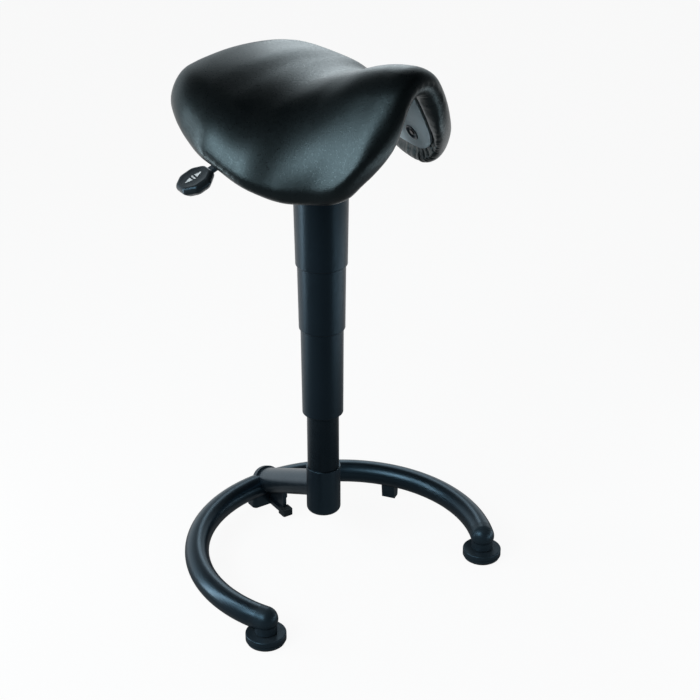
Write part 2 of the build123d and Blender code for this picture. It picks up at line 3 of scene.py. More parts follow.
import math

import bmesh
import bpy
import numpy as np
from bpy.props import FloatProperty, FloatVectorProperty, IntProperty, PointerProperty
from mathutils import Matrix, Vector
from mathutils.kdtree import KDTree


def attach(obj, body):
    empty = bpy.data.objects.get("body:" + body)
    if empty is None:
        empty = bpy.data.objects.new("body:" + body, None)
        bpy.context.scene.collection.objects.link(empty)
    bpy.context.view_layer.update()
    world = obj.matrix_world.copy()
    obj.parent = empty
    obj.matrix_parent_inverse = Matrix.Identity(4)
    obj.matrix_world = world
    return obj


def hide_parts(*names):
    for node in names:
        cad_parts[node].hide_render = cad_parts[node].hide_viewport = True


bl_info = {
    "name": "Saddle Stool",
    "version": (1, 0, 0),
    "blender": (4, 5, 0),
    "location": "View3D > Sidebar > Stool",
    "description": "Builds the looks of a sit-stand stool around its packed frame",
    "category": "Object",
}

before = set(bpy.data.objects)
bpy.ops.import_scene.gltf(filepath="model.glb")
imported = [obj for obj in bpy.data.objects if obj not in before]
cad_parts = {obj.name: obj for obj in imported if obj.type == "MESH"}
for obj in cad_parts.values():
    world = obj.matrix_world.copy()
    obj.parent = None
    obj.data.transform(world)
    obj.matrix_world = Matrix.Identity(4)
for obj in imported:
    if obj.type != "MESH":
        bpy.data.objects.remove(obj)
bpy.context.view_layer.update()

MM = 0.001
# The column axis stands this far in front of the origin, in metres
COLUMN_FORWARD = 0.008
COLUMN_AXIS = np.array((0, -COLUMN_FORWARD, 0))

# Rounded ends of the saddle: length in millimetres, turns of their slices, least share of padding
NOSE_LENGTH = 8
NOSE_TURNS = np.radians((90, 66, 42, 20))
THINNEST_NOSE = 0.02
# Slices between the ends, and points along a slice
SLICES = 92
CREST_POINTS = 41
FLANK_POINTS = 22
ROLL_POINTS = 13
# Where the rim rises: beside the shell in millimetres, and past its reach in shares of the flank
RIM_BESIDE_SHELL = (4.0, 13.0)
RIM_BELOW_SHELL = (0.03, 0.12)
# Padding that gives the rim its full bulge, in millimetres
FULL_BULGE_PADDING = 30
# Middle of the rim: start from the saddle's ends in millimetres, place in the padding and in the
# roll, and points along its sides and ends
RIM_END = 6
RIM_DEPTH = 0.6
RIM_DROP = 0.7
RIM_POINTS = 160
FRONT_POINTS = 60
REAR_POINTS = 50
# Gathers: how far from the rim they fade, inside and at the rear, in metres
INSIDE_FADE = (0.020, 0.036)
REAR_FADE = (0.006, 0.020)
# Their uneven spacing: size, pace and start of two slow waves, counted in gathers
UNEVEN_WAVES = ((0.35, 0.71, 0.0), (0.25, 1.93, 1.1))
# Where they deepen round a flap's low corner and set in at the rear, in millimetres
CORNER_START = (70, 100)
CORNER_END = (168, 150)
CORNER_HEIGHT = (720, 690)
REAR_START = (-60, -150)
# How squarely the cover has to face in for them, and shares of their depth
FACING_IN = (0.15, 0.65)
INSIDE_SHARE = 0.3
CORNER_SHARE = 0.9
REAR_SHARE = 0.18

# Saddle stations: forward, crest height, shoulder half width, shoulder height,
# edge half width, edge height and padding depth, in millimetres
STATIONS = np.array(
    [
        (-188, 785, 46, 781, 79, 760, 18),
        (-172, 800, 83, 794, 124, 755, 31),
        (-145, 804, 102, 796, 151, 743, 40),
        (-100, 804, 118, 790, 176, 723, 43),
        (-50, 795, 122, 780, 192, 708, 44),
        (0, 790, 110, 771, 190, 689, 43),
        (50, 802, 86, 776, 170, 673, 38),
        (100, 820, 70, 791, 141, 669, 35),
        (128, 826, 62, 796, 129, 681, 33),
        (152, 828, 56, 800, 108, 709, 30),
        (169, 825, 48, 801, 81, 736, 25),
        (180, 817, 36, 802, 57, 772, 15),
    ],
    float,
)


class SaddleSettings(bpy.types.PropertyGroup):
    """Sizes and finish of the padded saddle, in millimetres where no unit is given"""

    swivel: FloatProperty(
        name="Swivel", description="Turn of the seat at rest",
        default=math.radians(18.45), subtype="ANGLE",
    )
    edge_roll: FloatProperty(
        name="Edge roll", description="How far the rolled edge hangs", default=7.0, min=0
    )
    edge_round: FloatProperty(
        name="Edge round", description="How far up the flank the rounding of the edge starts",
        default=9.0, min=0,
    )
    rim_bulge: FloatProperty(
        name="Rim bulge", description="How far the rolled rim stands in", default=10.0, min=0
    )
    shell_reach: FloatProperty(
        name="Shell reach", description="Share of the flank that the shell covers",
        default=0.9, min=0, max=1, subtype="FACTOR",
    )
    shell_rear: FloatProperty(
        name="Shell rear", description="Inset of the shell from the saddle's rear", default=14.0
    )
    shell_front: FloatProperty(
        name="Shell front", description="Inset of the shell from the saddle's front", default=40.0
    )
    shell_low: FloatProperty(
        name="Shell low", description="Height of the shell's lower edge", default=682.0
    )
    shell_corner: FloatProperty(
        name="Shell corner", description="Rounding of the shell's lower corners", default=34.0
    )
    voxel: FloatProperty(
        name="Voxel", description="Remesh size before the cloth", default=0.004, unit="LENGTH"
    )
    pressure: FloatProperty(
        name="Pressure", description="Stuffing pressure of the cloth", default=4.0
    )
    frames: IntProperty(name="Frames", description="Cloth steps", default=20)
    swell_cap: FloatProperty(
        name="Swell cap", description="Furthest that a point may swell",
        default=0.0018, unit="LENGTH",
    )
    taut: IntProperty(
        name="Taut", description="Rounds that even out the swelling, as a taut cover does",
        default=100,
    )
    shrink: FloatProperty(
        name="Shrink", description="How much smaller the form starts", default=0.0003, unit="LENGTH"
    )
    pleat_length: FloatProperty(
        name="Pleat length", description="Distance between gathers on the rim",
        default=0.0085, unit="LENGTH",
    )
    pleat_depth: FloatProperty(
        name="Pleat depth", description="Depth of the gathers", default=0.0022, unit="LENGTH"
    )
    colour: FloatVectorProperty(
        name="Leatherette", description="Colour of the cover",
        default=(0.0026, 0.0036, 0.0040), subtype="COLOR",
    )
    grain: FloatProperty(
        name="Grain", description="Size of the grain", default=0.0021, unit="LENGTH"
    )


class LeverSettings(bpy.types.PropertyGroup):
    """Sizes and finish of the height lever's paddle, in millimetres where no unit is given"""

    bearing: FloatProperty(
        name="Bearing", description="Direction of the lever, from +X",
        default=math.radians(-183.65), subtype="ANGLE",
    )
    slope: FloatProperty(
        name="Slope", description="How far the paddle slopes down",
        default=math.atan2(57, 121), subtype="ANGLE",
    )
    reach: FloatProperty(
        name="Reach", description="Distance of the paddle from the column axis", default=197.0
    )
    height: FloatProperty(name="Height", description="Height of the paddle", default=670.0)
    length: FloatProperty(name="Length", description="Length of the paddle", default=52.0)
    width: FloatProperty(name="Width", description="Width of the paddle", default=55.0)
    cut: FloatProperty(name="Cut", description="Size of the cut corners", default=15.0)
    colour: FloatVectorProperty(
        name="Paddle", description="Colour of the paddle",
        default=(0.014, 0.017, 0.019), subtype="COLOR",
    )
    mark_colour: FloatVectorProperty(
        name="Mark", description="Colour of the printed mark",
        default=(0.62, 0.63, 0.63), subtype="COLOR",
    )


class ColumnSettings(bpy.types.PropertyGroup):
    """Finish of the column and its covers"""

    cover_colour: FloatVectorProperty(
        name="Covers", description="Colour of the telescopic covers",
        default=(0.0055, 0.0088, 0.0125), subtype="COLOR",
    )
    tube_colour: FloatVectorProperty(
        name="Tube", description="Colour of the column tube",
        default=(0.0035, 0.005, 0.0066), subtype="COLOR",
    )
    shell_colour: FloatVectorProperty(
        name="Shell", description="Colour of the seat's moulded pan",
        default=(0.56, 0.66, 0.70), subtype="COLOR",
    )


class BaseSettings(bpy.types.PropertyGroup):
    """Finish of the base"""

    paint_colour: FloatVectorProperty(
        name="Paint", description="Colour of the powder coat",
        default=(0.0028, 0.0045, 0.0068), subtype="COLOR",
    )
    foot_colour: FloatVectorProperty(
        name="Feet", description="Colour of the moulded feet",
        default=(0.015, 0.023, 0.030), subtype="COLOR",
    )


class StageSettings(bpy.types.PropertyGroup):
    """Camera, floor and lights"""

    lens: FloatProperty(
        name="Lens", description="Focal length on a 36 mm sensor", default=78.8, unit="CAMERA"
    )
    pitch: FloatProperty(
        name="Pitch", description="How far the camera looks down",
        default=math.radians(26.15), subtype="ANGLE",
    )
    floor_colour: FloatVectorProperty(
        name="Floor", description="Colour of the floor", default=(0.92, 0.92, 0.92), subtype="COLOR"
    )
    lamp_colour: FloatVectorProperty(
        name="Lamps", description="Colour of the lamps", default=(0.87, 0.96, 1.0), subtype="COLOR"
    )
    back: FloatProperty(
        name="Back", description="Power of the light behind the object",
        default=2.4, unit="POWER",
    )
    flank: FloatProperty(
        name="Flank", description="Power of the large light on the left",
        default=42.0, unit="POWER",
    )
    strip: FloatProperty(
        name="Strip", description="Power of the tall strip on the left",
        default=5.0, unit="POWER",
    )
    right: FloatProperty(
        name="Right", description="Power of the low panel on the right",
        default=1.6, unit="POWER",
    )


def pchip(xs, ys, at):
    """Smooth curve through points that never overshoots them"""
    step = np.diff(xs)
    slope = np.diff(ys) / step
    tangent = np.zeros(len(xs))
    for i in range(1, len(xs) - 1):
        if slope[i - 1] * slope[i] > 0:
            before = 2 * step[i] + step[i - 1]
            after = step[i] + 2 * step[i - 1]
            tangent[i] = (before + after) / (before / slope[i - 1] + after / slope[i])
    tangent[0] = slope[0]
    tangent[-1] = slope[-1]
    i = np.clip(np.searchsorted(xs, at) - 1, 0, len(step) - 1)
    t = (at - xs[i]) / step[i]
    near = (1 + 2 * t) * (1 - t) ** 2 * ys[i] + t * (1 - t) ** 2 * step[i] * tangent[i]
    far = t**2 * (3 - 2 * t) * ys[i + 1] + t**2 * (t - 1) * step[i] * tangent[i + 1]
    return near + far


def smooth(low, high, value):
    """Soft step from 0 at the first limit to 1 at the second"""
    t = np.clip((value - low) / (high - low), 0, 1)
    return t * t * (3 - 2 * t)


class Arch:
    """The saddle's section at one place: a crest arc that runs on into two flank arcs"""

    def __init__(self, forward):
        at = np.array(forward)
        values = [float(pchip(STATIONS[:, 0], STATIONS[:, k], at)) for k in range(1, 7)]
        crest, shoulder, shoulder_z, edge, edge_z, self.padding = values
        drop = crest - shoulder_z
        self.crest_radius = (shoulder**2 + drop**2) / (2 * drop)
        self.crest_z = crest - self.crest_radius
        self.shoulder_turn = math.asin(shoulder / self.crest_radius)
        inward = np.array((-math.sin(self.shoulder_turn), -math.cos(self.shoulder_turn)))
        chord = np.array((edge - shoulder, edge_z - shoulder_z))
        self.flank_radius = chord @ chord / (2 * chord @ inward)
        self.flank_centre = np.array((shoulder, shoulder_z)) + inward * self.flank_radius
        reach = np.array((edge, edge_z)) - self.flank_centre
        self.edge_turn = math.atan2(reach[0], reach[1])

    def point(self, way, depth):
        """Point at a way along the arch, 0 on the crest, 1 on the shoulder, 2 on the edge"""
        side = -1 if way < 0 else 1
        way = abs(way)
        if way <= 1:
            turn = way * self.shoulder_turn
            b = math.sin(turn) * (self.crest_radius - depth)
            z = self.crest_z + math.cos(turn) * (self.crest_radius - depth)
        else:
            turn = self.shoulder_turn + (way - 1) * (self.edge_turn - self.shoulder_turn)
            b = self.flank_centre[0] + math.sin(turn) * (self.flank_radius - depth)
            z = self.flank_centre[1] + math.cos(turn) * (self.flank_radius - depth)
        return np.array((side * b, z))

    def round_way(self, back):
        """Way along the arch at a distance back from the edge"""
        return 2 - back / (self.flank_radius * (self.edge_turn - self.shoulder_turn))

    def down(self, way):
        """Direction along the flank, away from the crest"""
        turn = self.shoulder_turn + (way - 1) * (self.edge_turn - self.shoulder_turn)
        return np.array((math.cos(turn), -math.sin(turn)))


def seat_to_frame(points, swivel):
    """Seat places (forward, left, up in millimetres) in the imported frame, in metres"""
    points = np.asarray(points, float)
    x = points[:, 0] * math.sin(swivel) + points[:, 1] * math.cos(swivel)
    y = -points[:, 0] * math.cos(swivel) + points[:, 1] * math.sin(swivel)
    return np.stack((x, y, points[:, 2]), 1) * MM + COLUMN_AXIS


def shell_distance(settings, forward, height):
    """How far a place is outside the shell's outline in the side view, in millimetres"""
    rear = STATIONS[0, 0] + settings.shell_rear
    front = STATIONS[-1, 0] - settings.shell_front
    corner = settings.shell_corner
    along = abs(forward - (front + rear) / 2) - (front - rear) / 2 + corner
    down = settings.shell_low + corner - height
    return math.hypot(max(along, 0), max(down, 0)) + min(max(along, down), 0) - corner


def roll(start, end, drop):
    """Points round a rolled edge, from one skin to the other"""
    turns = np.linspace(0, math.pi, ROLL_POINTS)[1:-1]
    return [(start + end) / 2 + (start - end) / 2 * math.cos(t) + drop * math.sin(t) for t in turns]


def saddle_ring(settings, forward, share):
    """Closed ring: over the top, round one rolled edge, back along the inside, round the other"""
    inset = settings.shrink / MM
    arch = Arch(forward)
    half = max(share, THINNEST_NOSE) / 2
    edge = arch.round_way(settings.edge_round)
    flank_ways = np.linspace(1, edge, FLANK_POINTS)
    crest_ways = np.linspace(-1, 1, CREST_POINTS)
    ways = np.concatenate((-flank_ways[:0:-1], crest_ways, flank_ways[1:]))
    outside = [arch.point(way, arch.padding * (0.5 - half) + inset) for way in ways]
    rim_low, rim_high = (settings.shell_reach + past for past in RIM_BELOW_SHELL)
    bulge = settings.rim_bulge * min(1.0, arch.padding / FULL_BULGE_PADDING)
    inside = []
    for way in ways[::-1]:
        beside = shell_distance(settings, forward, arch.point(way, arch.padding)[1])
        rim = max(smooth(*RIM_BESIDE_SHELL, beside), smooth(rim_low, rim_high, abs(way) - 1))
        depth = arch.padding * (0.5 + half) + rim * bulge * share - inset
        inside.append(arch.point(way, depth))
    drop = arch.down(edge) * (settings.edge_roll + settings.edge_round - inset) * share
    left_roll = roll(outside[-1], inside[0], drop)
    right_roll = roll(inside[-1], outside[0], drop * (-1, 1))
    return np.array([(forward, *spot) for spot in outside + left_roll + inside + right_roll])


def saddle_rings(settings):
    """Rings round the padding, from the rear of the saddle to its front"""
    first, last = STATIONS[0, 0], STATIONS[-1, 0]
    rear = [(first + NOSE_LENGTH * (1 - math.sin(t)), math.cos(t)) for t in NOSE_TURNS]
    front = [(last - NOSE_LENGTH * (1 - math.sin(t)), math.cos(t)) for t in NOSE_TURNS[::-1]]
    middle = [(at, 1.0) for at in np.linspace(first + NOSE_LENGTH, last - NOSE_LENGTH, SLICES)]
    return [saddle_ring(settings, forward, share) for forward, share in rear + middle + front]


def end_line(forward, ways):
    """Points across the middle of the padding at one end of the saddle"""
    arch = Arch(forward)
    return [(forward, *arch.point(way, arch.padding / 2)) for way in ways[1:-1]]


def rim_line(settings):
    """Points along the middle of the rolled rim, once round the saddle, and their running length"""
    first, last = STATIONS[0, 0], STATIONS[-1, 0]
    left = []
    for forward in np.linspace(first + RIM_END, last - RIM_END, RIM_POINTS):
        arch = Arch(forward)
        middle = arch.point(2, arch.padding * RIM_DEPTH)
        left.append((forward, *(middle + arch.down(2) * settings.edge_roll * RIM_DROP)))
    right = [(forward, -beside, height) for forward, beside, height in left[::-1]]
    front = end_line(last, np.linspace(2, -2, FRONT_POINTS))
    rear = end_line(first, np.linspace(-2, 2, REAR_POINTS))
    points = np.array(left + front + right + rear)
    steps = np.linalg.norm(np.diff(points, axis=0, append=points[:1]), axis=1)
    return points, np.concatenate(([0], np.cumsum(steps)[:-1]))


def link(piece):
    bpy.context.scene.collection.objects.link(piece)
    return piece


def activate(piece):
    bpy.ops.object.select_all(action="DESELECT")
    piece.select_set(True)
    bpy.context.view_layer.objects.active = piece


def ring_mesh(name, rings):
    """A closed skin over rings of the same number of points"""
    count = len(rings[0])
    mesh = bpy.data.meshes.new(name)
    vertices = np.concatenate(rings)
    faces = []
    for row in range(len(rings) - 1):
        for k in range(count):
            a = row * count + k
            b = row * count + (k + 1) % count
            faces.append((a, b, b + count, a + count))
    faces.append(tuple(range(count))[::-1])
    faces.append(tuple(range((len(rings) - 1) * count, len(rings) * count)))
    mesh.from_pydata(vertices.tolist(), [], faces)
    skin = bmesh.new()
    skin.from_mesh(mesh)
    bmesh.ops.recalc_face_normals(skin, faces=skin.faces)
    skin.to_mesh(mesh)
    skin.free()
    return mesh


def read_points(mesh):
    points = np.zeros(len(mesh.vertices) * 3)
    mesh.vertices.foreach_get("co", points)
    return points.reshape(-1, 3)


def read_normals(mesh):
    normals = np.zeros(len(mesh.vertices) * 3)
    mesh.vertex_normals.foreach_get("vector", normals)
    return normals.reshape(-1, 3)


def write_points(mesh, points):
    mesh.vertices.foreach_set("co", points.reshape(-1))
    mesh.update()


def apply_modifier(piece, modifier):
    activate(piece)
    bpy.ops.object.modifier_apply(modifier=modifier.name)


def even_out(mesh, move, rounds):
    """Spreads each point's move over its neighbours, so that no short wrinkle is left"""
    ends = np.zeros(len(mesh.edges) * 2, int)
    mesh.edges.foreach_get("vertices", ends)
    first, second = ends.reshape(-1, 2).T
    count = len(move)
    near = np.maximum(np.bincount(ends, minlength=count), 1)
    for _ in range(rounds):
        for axis in range(3):
            value = move[:, axis]
            total = np.bincount(first, value[second], count)
            total += np.bincount(second, value[first], count)
            move[:, axis] = (value + total / near) / 2
    return move


def swell(piece, settings):
    """Stuffs the padding: the cover is blown up as cloth, and no point goes further than the cap"""
    scene = bpy.context.scene
    rest = read_points(piece.data)
    cloth = piece.modifiers.new("stuffing", "CLOTH")
    cloth.settings.quality = 5
    cloth.settings.mass = 0.4
    cloth.settings.tension_stiffness = 30
    cloth.settings.compression_stiffness = 30
    cloth.settings.bending_stiffness = 4
    cloth.settings.use_pressure = True
    cloth.settings.uniform_pressure_force = settings.pressure
    cloth.settings.effector_weights.gravity = 0
    cloth.collision_settings.use_collision = False
    cloth.point_cache.frame_start = 1
    cloth.point_cache.frame_end = settings.frames
    for step in range(1, settings.frames + 1):
        scene.frame_set(step)
    shaped = piece.evaluated_get(bpy.context.evaluated_depsgraph_get())
    blown = read_points(shaped.data).copy()
    piece.modifiers.remove(cloth)
    scene.frame_set(1)
    move = blown - rest
    length = np.linalg.norm(move, axis=1, keepdims=True)
    cap = settings.swell_cap
    move *= np.where(length > 1e-9, np.minimum(length, cap) / np.maximum(length, 1e-9), 0)
    write_points(piece.data, rest + even_out(piece.data, move, settings.taut))


def gather(piece, settings):
    """Draws the cover in along the rim: pleats on the inside, faint bumps on the outside"""
    points, running = rim_line(settings)
    total = running[-1]
    count = round(total * MM / settings.pleat_length)
    rim = seat_to_frame(points, settings.swivel)
    tree = KDTree(len(rim))
    for i, spot in enumerate(rim):
        tree.insert(spot, i)
    tree.balance()
    co = read_points(piece.data)
    normals = read_normals(piece.data)
    left = np.array((math.cos(settings.swivel), math.sin(settings.swivel), 0))
    for k in range(len(co)):
        _, i, distance = tree.find(co[k])
        if distance > INSIDE_FADE[1]:
            continue
        place = running[i] / total * count
        uneven = sum(size * math.sin(place * pace + start) for size, pace, start in UNEVEN_WAVES)
        wave = abs(math.sin(math.pi * (place + uneven)))
        crease = (1 - wave) ** 2
        ahead, beside, height = points[i]
        corner = smooth(*CORNER_START, ahead) * smooth(*CORNER_END, ahead)
        corner *= smooth(*CORNER_HEIGHT, height)
        inward = -math.copysign(1, beside) * float(normals[k] @ left)
        inside = smooth(*FACING_IN, inward) * (1 - smooth(*INSIDE_FADE, distance))
        rear = smooth(*REAR_START, ahead) * (1 - smooth(*REAR_FADE, distance)) * (1 - inside)
        share = inside * (INSIDE_SHARE + CORNER_SHARE * corner) + REAR_SHARE * rear
        co[k] -= normals[k] * (settings.pleat_depth * share) * crease
    write_points(piece.data, co)


def shade_smooth(piece):
    piece.data.polygons.foreach_set("use_smooth", [True] * len(piece.data.polygons))
    piece.data.update()


class Nodes:
    """Adds nodes to a tree and joins them"""

    # Sockets of a Mix node's two values and of their mix
    MIX_SOCKETS = {"FLOAT": (2, 3, 0), "RGBA": (6, 7, 2)}

    def __init__(self, tree):
        self.tree = tree

    def add(self, kind, **values):
        node = self.tree.nodes.new(kind)
        for name, value in values.items():
            setattr(node, name, value)
        return node

    def join(self, source, target):
        self.tree.links.new(source, target)

    def feed(self, socket, value):
        """Sets a socket to a value, or joins it to another socket"""
        if isinstance(value, bpy.types.NodeSocket):
            self.tree.links.new(value, socket)
        else:
            socket.default_value = value

    def math(self, operation, first, second=0.0, third=0.0):
        node = self.add("ShaderNodeMath", operation=operation)
        for socket, value in zip(node.inputs, (first, second, third)):
            self.feed(socket, value)
        return node.outputs[0]

    def mix(self, factor, first, second, kind="RGBA"):
        node = self.add("ShaderNodeMix", data_type=kind)
        low, high, mixed = self.MIX_SOCKETS[kind]
        self.feed(node.inputs[0], factor)
        self.feed(node.inputs[low], first)
        self.feed(node.inputs[high], second)
        return node.outputs[mixed]

    def remap(self, value, low, high, new_low, new_high):
        node = self.add("ShaderNodeMapRange", interpolation_type="SMOOTHSTEP")
        for socket, part in zip(node.inputs, (value, low, high, new_low, new_high)):
            self.feed(socket, part)
        return node.outputs[0]

    def stretch(self, place, by):
        node = self.add("ShaderNodeVectorMath", operation="MULTIPLY")
        self.join(place, node.inputs[0])
        node.inputs[1].default_value = by
        return node.outputs[0]

    def noise(self, place, scale, detail=3.0, roughness=0.55):
        node = self.add("ShaderNodeTexNoise")
        self.feed(node.inputs["Vector"], place)
        self.feed(node.inputs["Scale"], scale)
        node.inputs["Detail"].default_value = detail
        node.inputs["Roughness"].default_value = roughness
        return node.outputs["Fac"]

    def cells(self, place, scale):
        node = self.add("ShaderNodeTexVoronoi", feature="DISTANCE_TO_EDGE")
        self.feed(node.inputs["Vector"], place)
        self.feed(node.inputs["Scale"], scale)
        return node.outputs["Distance"]

    def group(self, tree, **values):
        node = self.add("ShaderNodeGroup", node_tree=tree)
        for name, value in values.items():
            self.feed(node.inputs[name.replace("_", " ").capitalize()], value)
        return node


def new_group(name, values, outputs):
    """A shader node group that takes a place and values, with its nodes helper and its two ends"""
    tree = bpy.data.node_groups.new(name, "ShaderNodeTree")
    tree.interface.new_socket(name="Place", in_out="INPUT", socket_type="NodeSocketVector")
    for title, default in values.items():
        socket = tree.interface.new_socket(
            name=title, in_out="INPUT", socket_type="NodeSocketFloat"
        )
        socket.default_value = default
    for title in outputs:
        tree.interface.new_socket(name=title, in_out="OUTPUT", socket_type="NodeSocketFloat")
    nodes = Nodes(tree)
    return tree, nodes, nodes.add("NodeGroupInput"), nodes.add("NodeGroupOutput")


def pebble_group():
    """Pressed leather grain: rounded cells with fine creases between them"""
    if "pebble_grain" in bpy.data.node_groups:
        return bpy.data.node_groups["pebble_grain"]
    tree, nodes, start, end = new_group("pebble_grain", {"Size": 0.002}, ("Height", "Crease"))
    per_metre = nodes.math("DIVIDE", 1.0, start.outputs["Size"])
    oval = nodes.stretch(start.outputs["Place"], (0.72, 1.0, 1.25))
    wander = nodes.add("ShaderNodeTexNoise")
    nodes.join(oval, wander.inputs["Vector"])
    nodes.feed(wander.inputs["Scale"], nodes.math("MULTIPLY", per_metre, 0.35))
    shift = nodes.add("ShaderNodeVectorMath", operation="MULTIPLY_ADD")
    nodes.join(wander.outputs["Color"], shift.inputs[0])
    nodes.feed(shift.inputs[1], start.outputs["Size"])
    nodes.join(oval, shift.inputs[2])
    edge = nodes.cells(shift.outputs[0], per_metre)
    crease = nodes.remap(edge, 0.0, 0.42, 1.0, 0.0)
    level = nodes.stretch(start.outputs["Place"], (0.55, 0.55, 1.7))
    dashes = nodes.noise(level, per_metre, 3.0)
    dome = nodes.math("MULTIPLY", nodes.math("SUBTRACT", 1.0, crease), 0.2)
    nodes.join(nodes.math("MULTIPLY_ADD", dashes, 1.6, dome), end.inputs["Height"])
    nodes.join(crease, end.inputs["Crease"])
    return tree


def mottle_group():
    """Slow unevenness of colour and gloss, with finer specks on top"""
    if "mottle" in bpy.data.node_groups:
        return bpy.data.node_groups["mottle"]
    scales = {"Broad": 9.0, "Fine": 160.0}
    tree, nodes, start, end = new_group("mottle", scales, ("Broad", "Fine"))
    broad = nodes.noise(start.outputs["Place"], start.outputs["Broad"], 4.0)
    fine = nodes.noise(start.outputs["Place"], start.outputs["Fine"], 5.0, 0.65)
    nodes.join(nodes.remap(broad, 0.3, 0.7, 0.0, 1.0), end.inputs["Broad"])
    nodes.join(nodes.remap(fine, 0.25, 0.75, 0.0, 1.0), end.inputs["Fine"])
    return tree


def stipple_group():
    """Fine skin of powder coat or of a spark-eroded mould"""
    if "stipple" in bpy.data.node_groups:
        return bpy.data.node_groups["stipple"]
    tree, nodes, start, end = new_group("stipple", {"Size": 0.0012}, ("Height",))
    per_metre = nodes.math("DIVIDE", 1.0, start.outputs["Size"])
    orange = nodes.noise(start.outputs["Place"], per_metre, 2.0, 0.5)
    grit = nodes.noise(start.outputs["Place"], nodes.math("MULTIPLY", per_metre, 3.7), 2.0, 0.6)
    nodes.join(nodes.math("MULTIPLY_ADD", grit, 0.4, orange), end.inputs["Height"])
    return tree


def wear_group():
    """Rubbed edges and a little dust on what faces up"""
    if "wear" in bpy.data.node_groups:
        return bpy.data.node_groups["wear"]
    shares = {"Edge": 0.5, "Dust": 0.3}
    tree, nodes, start, end = new_group("wear", shares, ("Edge", "Dust"))
    geometry = nodes.add("ShaderNodeNewGeometry")
    patchy = nodes.noise(start.outputs["Place"], 55.0, 4.0)
    ridge = nodes.remap(geometry.outputs["Pointiness"], 0.52, 0.60, 0.0, 1.0)
    rubbed = nodes.math("MULTIPLY", ridge, nodes.remap(patchy, 0.35, 0.65, 0.2, 1.0))
    nodes.join(nodes.math("MULTIPLY", rubbed, start.outputs["Edge"]), end.inputs["Edge"])
    facing = nodes.add("ShaderNodeSeparateXYZ")
    nodes.join(geometry.outputs["Normal"], facing.inputs[0])
    level = nodes.remap(facing.outputs["Z"], 0.55, 0.98, 0.0, 1.0)
    settled = nodes.math("MULTIPLY", level, nodes.remap(patchy, 0.3, 0.75, 0.15, 1.0))
    nodes.join(nodes.math("MULTIPLY", settled, start.outputs["Dust"]), end.inputs["Dust"])
    return tree


def new_material(name):
    """A material with its nodes helper, its shader and the object's own coordinates"""
    material = bpy.data.materials.new(name)
    material.use_nodes = True
    material.node_tree.nodes.clear()
    nodes = Nodes(material.node_tree)
    shader = nodes.add("ShaderNodeBsdfPrincipled")
    output = nodes.add("ShaderNodeOutputMaterial")
    nodes.join(shader.outputs[0], output.inputs["Surface"])
    place = nodes.add("ShaderNodeTexCoord").outputs["Object"]
    return material, nodes, shader, place


def bump(nodes, shader, height, strength, distance):
    node = nodes.add("ShaderNodeBump")
    node.inputs["Strength"].default_value = strength
    node.inputs["Distance"].default_value = distance
    nodes.join(height, node.inputs["Height"])
    nodes.join(node.outputs["Normal"], shader.inputs["Normal"])


def tint(colour, share):
    return (*[channel * share for channel in colour], 1.0)


# Tints of the gloss, colours of settled dust and of rubbed paint
LEATHER_GLOSS = (0.68, 0.92, 1.0, 1.0)
COOL_GLOSS = (0.42, 0.74, 1.0, 1.0)
LEATHER_DUST = (0.16, 0.17, 0.17, 1.0)
PLASTIC_DUST = (0.22, 0.23, 0.23, 1.0)
PAINT_DUST = (0.2, 0.21, 0.21, 1.0)
RUBBED_PAINT = (0.06, 0.065, 0.07, 1.0)


def leatherette():
    """Black grained upholstery with a satin face and duller creases, darkened as painted shade"""
    settings = bpy.context.scene.stool_saddle
    material, nodes, shader, place = new_material("leatherette")
    colour = settings.colour
    grain = nodes.group(pebble_group(), place=place, size=settings.grain)
    mottle = nodes.group(mottle_group(), place=place, broad=7.0, fine=210.0)
    wear = nodes.group(wear_group(), place=place, edge=0.25, dust=0.02)
    base = nodes.mix(mottle.outputs["Broad"], tint(colour, 0.82), tint(colour, 1.2))
    # Painted shade: the grain's creases are darkened towards 45% of the cover's colour
    base = nodes.mix(nodes.math("MULTIPLY", grain.outputs["Crease"], 0.5), base, tint(colour, 0.45))
    base = nodes.mix(wear.outputs["Dust"], base, LEATHER_DUST)
    nodes.join(base, shader.inputs["Base Color"])
    rough = nodes.math("MULTIPLY_ADD", grain.outputs["Crease"], 0.12, 0.24)
    rough = nodes.math("MULTIPLY_ADD", mottle.outputs["Fine"], 0.06, rough)
    nodes.join(rough, shader.inputs["Roughness"])
    shader.inputs["Specular IOR Level"].default_value = 0.6
    shader.inputs["Specular Tint"].default_value = LEATHER_GLOSS
    bump(nodes, shader, grain.outputs["Height"], 0.36, 0.0003)
    return material


def satin_plastic(name, colour, rough=0.42, size=0.0009, strength=0.2, dust=0.04, edge=0.4):
    """Moulded plastic with a fine skin, slightly rubbed edges and a trace of dust"""
    material, nodes, shader, place = new_material(name)
    mottle = nodes.group(mottle_group(), place=place, broad=11.0, fine=260.0)
    skin = nodes.group(stipple_group(), place=place, size=size)
    wear = nodes.group(wear_group(), place=place, edge=edge, dust=dust)
    base = nodes.mix(mottle.outputs["Broad"], tint(colour, 0.9), tint(colour, 1.12))
    base = nodes.mix(wear.outputs["Edge"], base, tint(colour, 2.0))
    base = nodes.mix(wear.outputs["Dust"], base, PLASTIC_DUST)
    nodes.join(base, shader.inputs["Base Color"])
    value = nodes.math("MULTIPLY_ADD", mottle.outputs["Fine"], 0.1, rough - 0.05)
    value = nodes.math("MULTIPLY_ADD", wear.outputs["Dust"], 0.3, value)
    nodes.join(value, shader.inputs["Roughness"])
    shader.inputs["Specular IOR Level"].default_value = 0.5
    shader.inputs["Specular Tint"].default_value = COOL_GLOSS
    bump(nodes, shader, skin.outputs["Height"], strength, 0.0002)
    return material


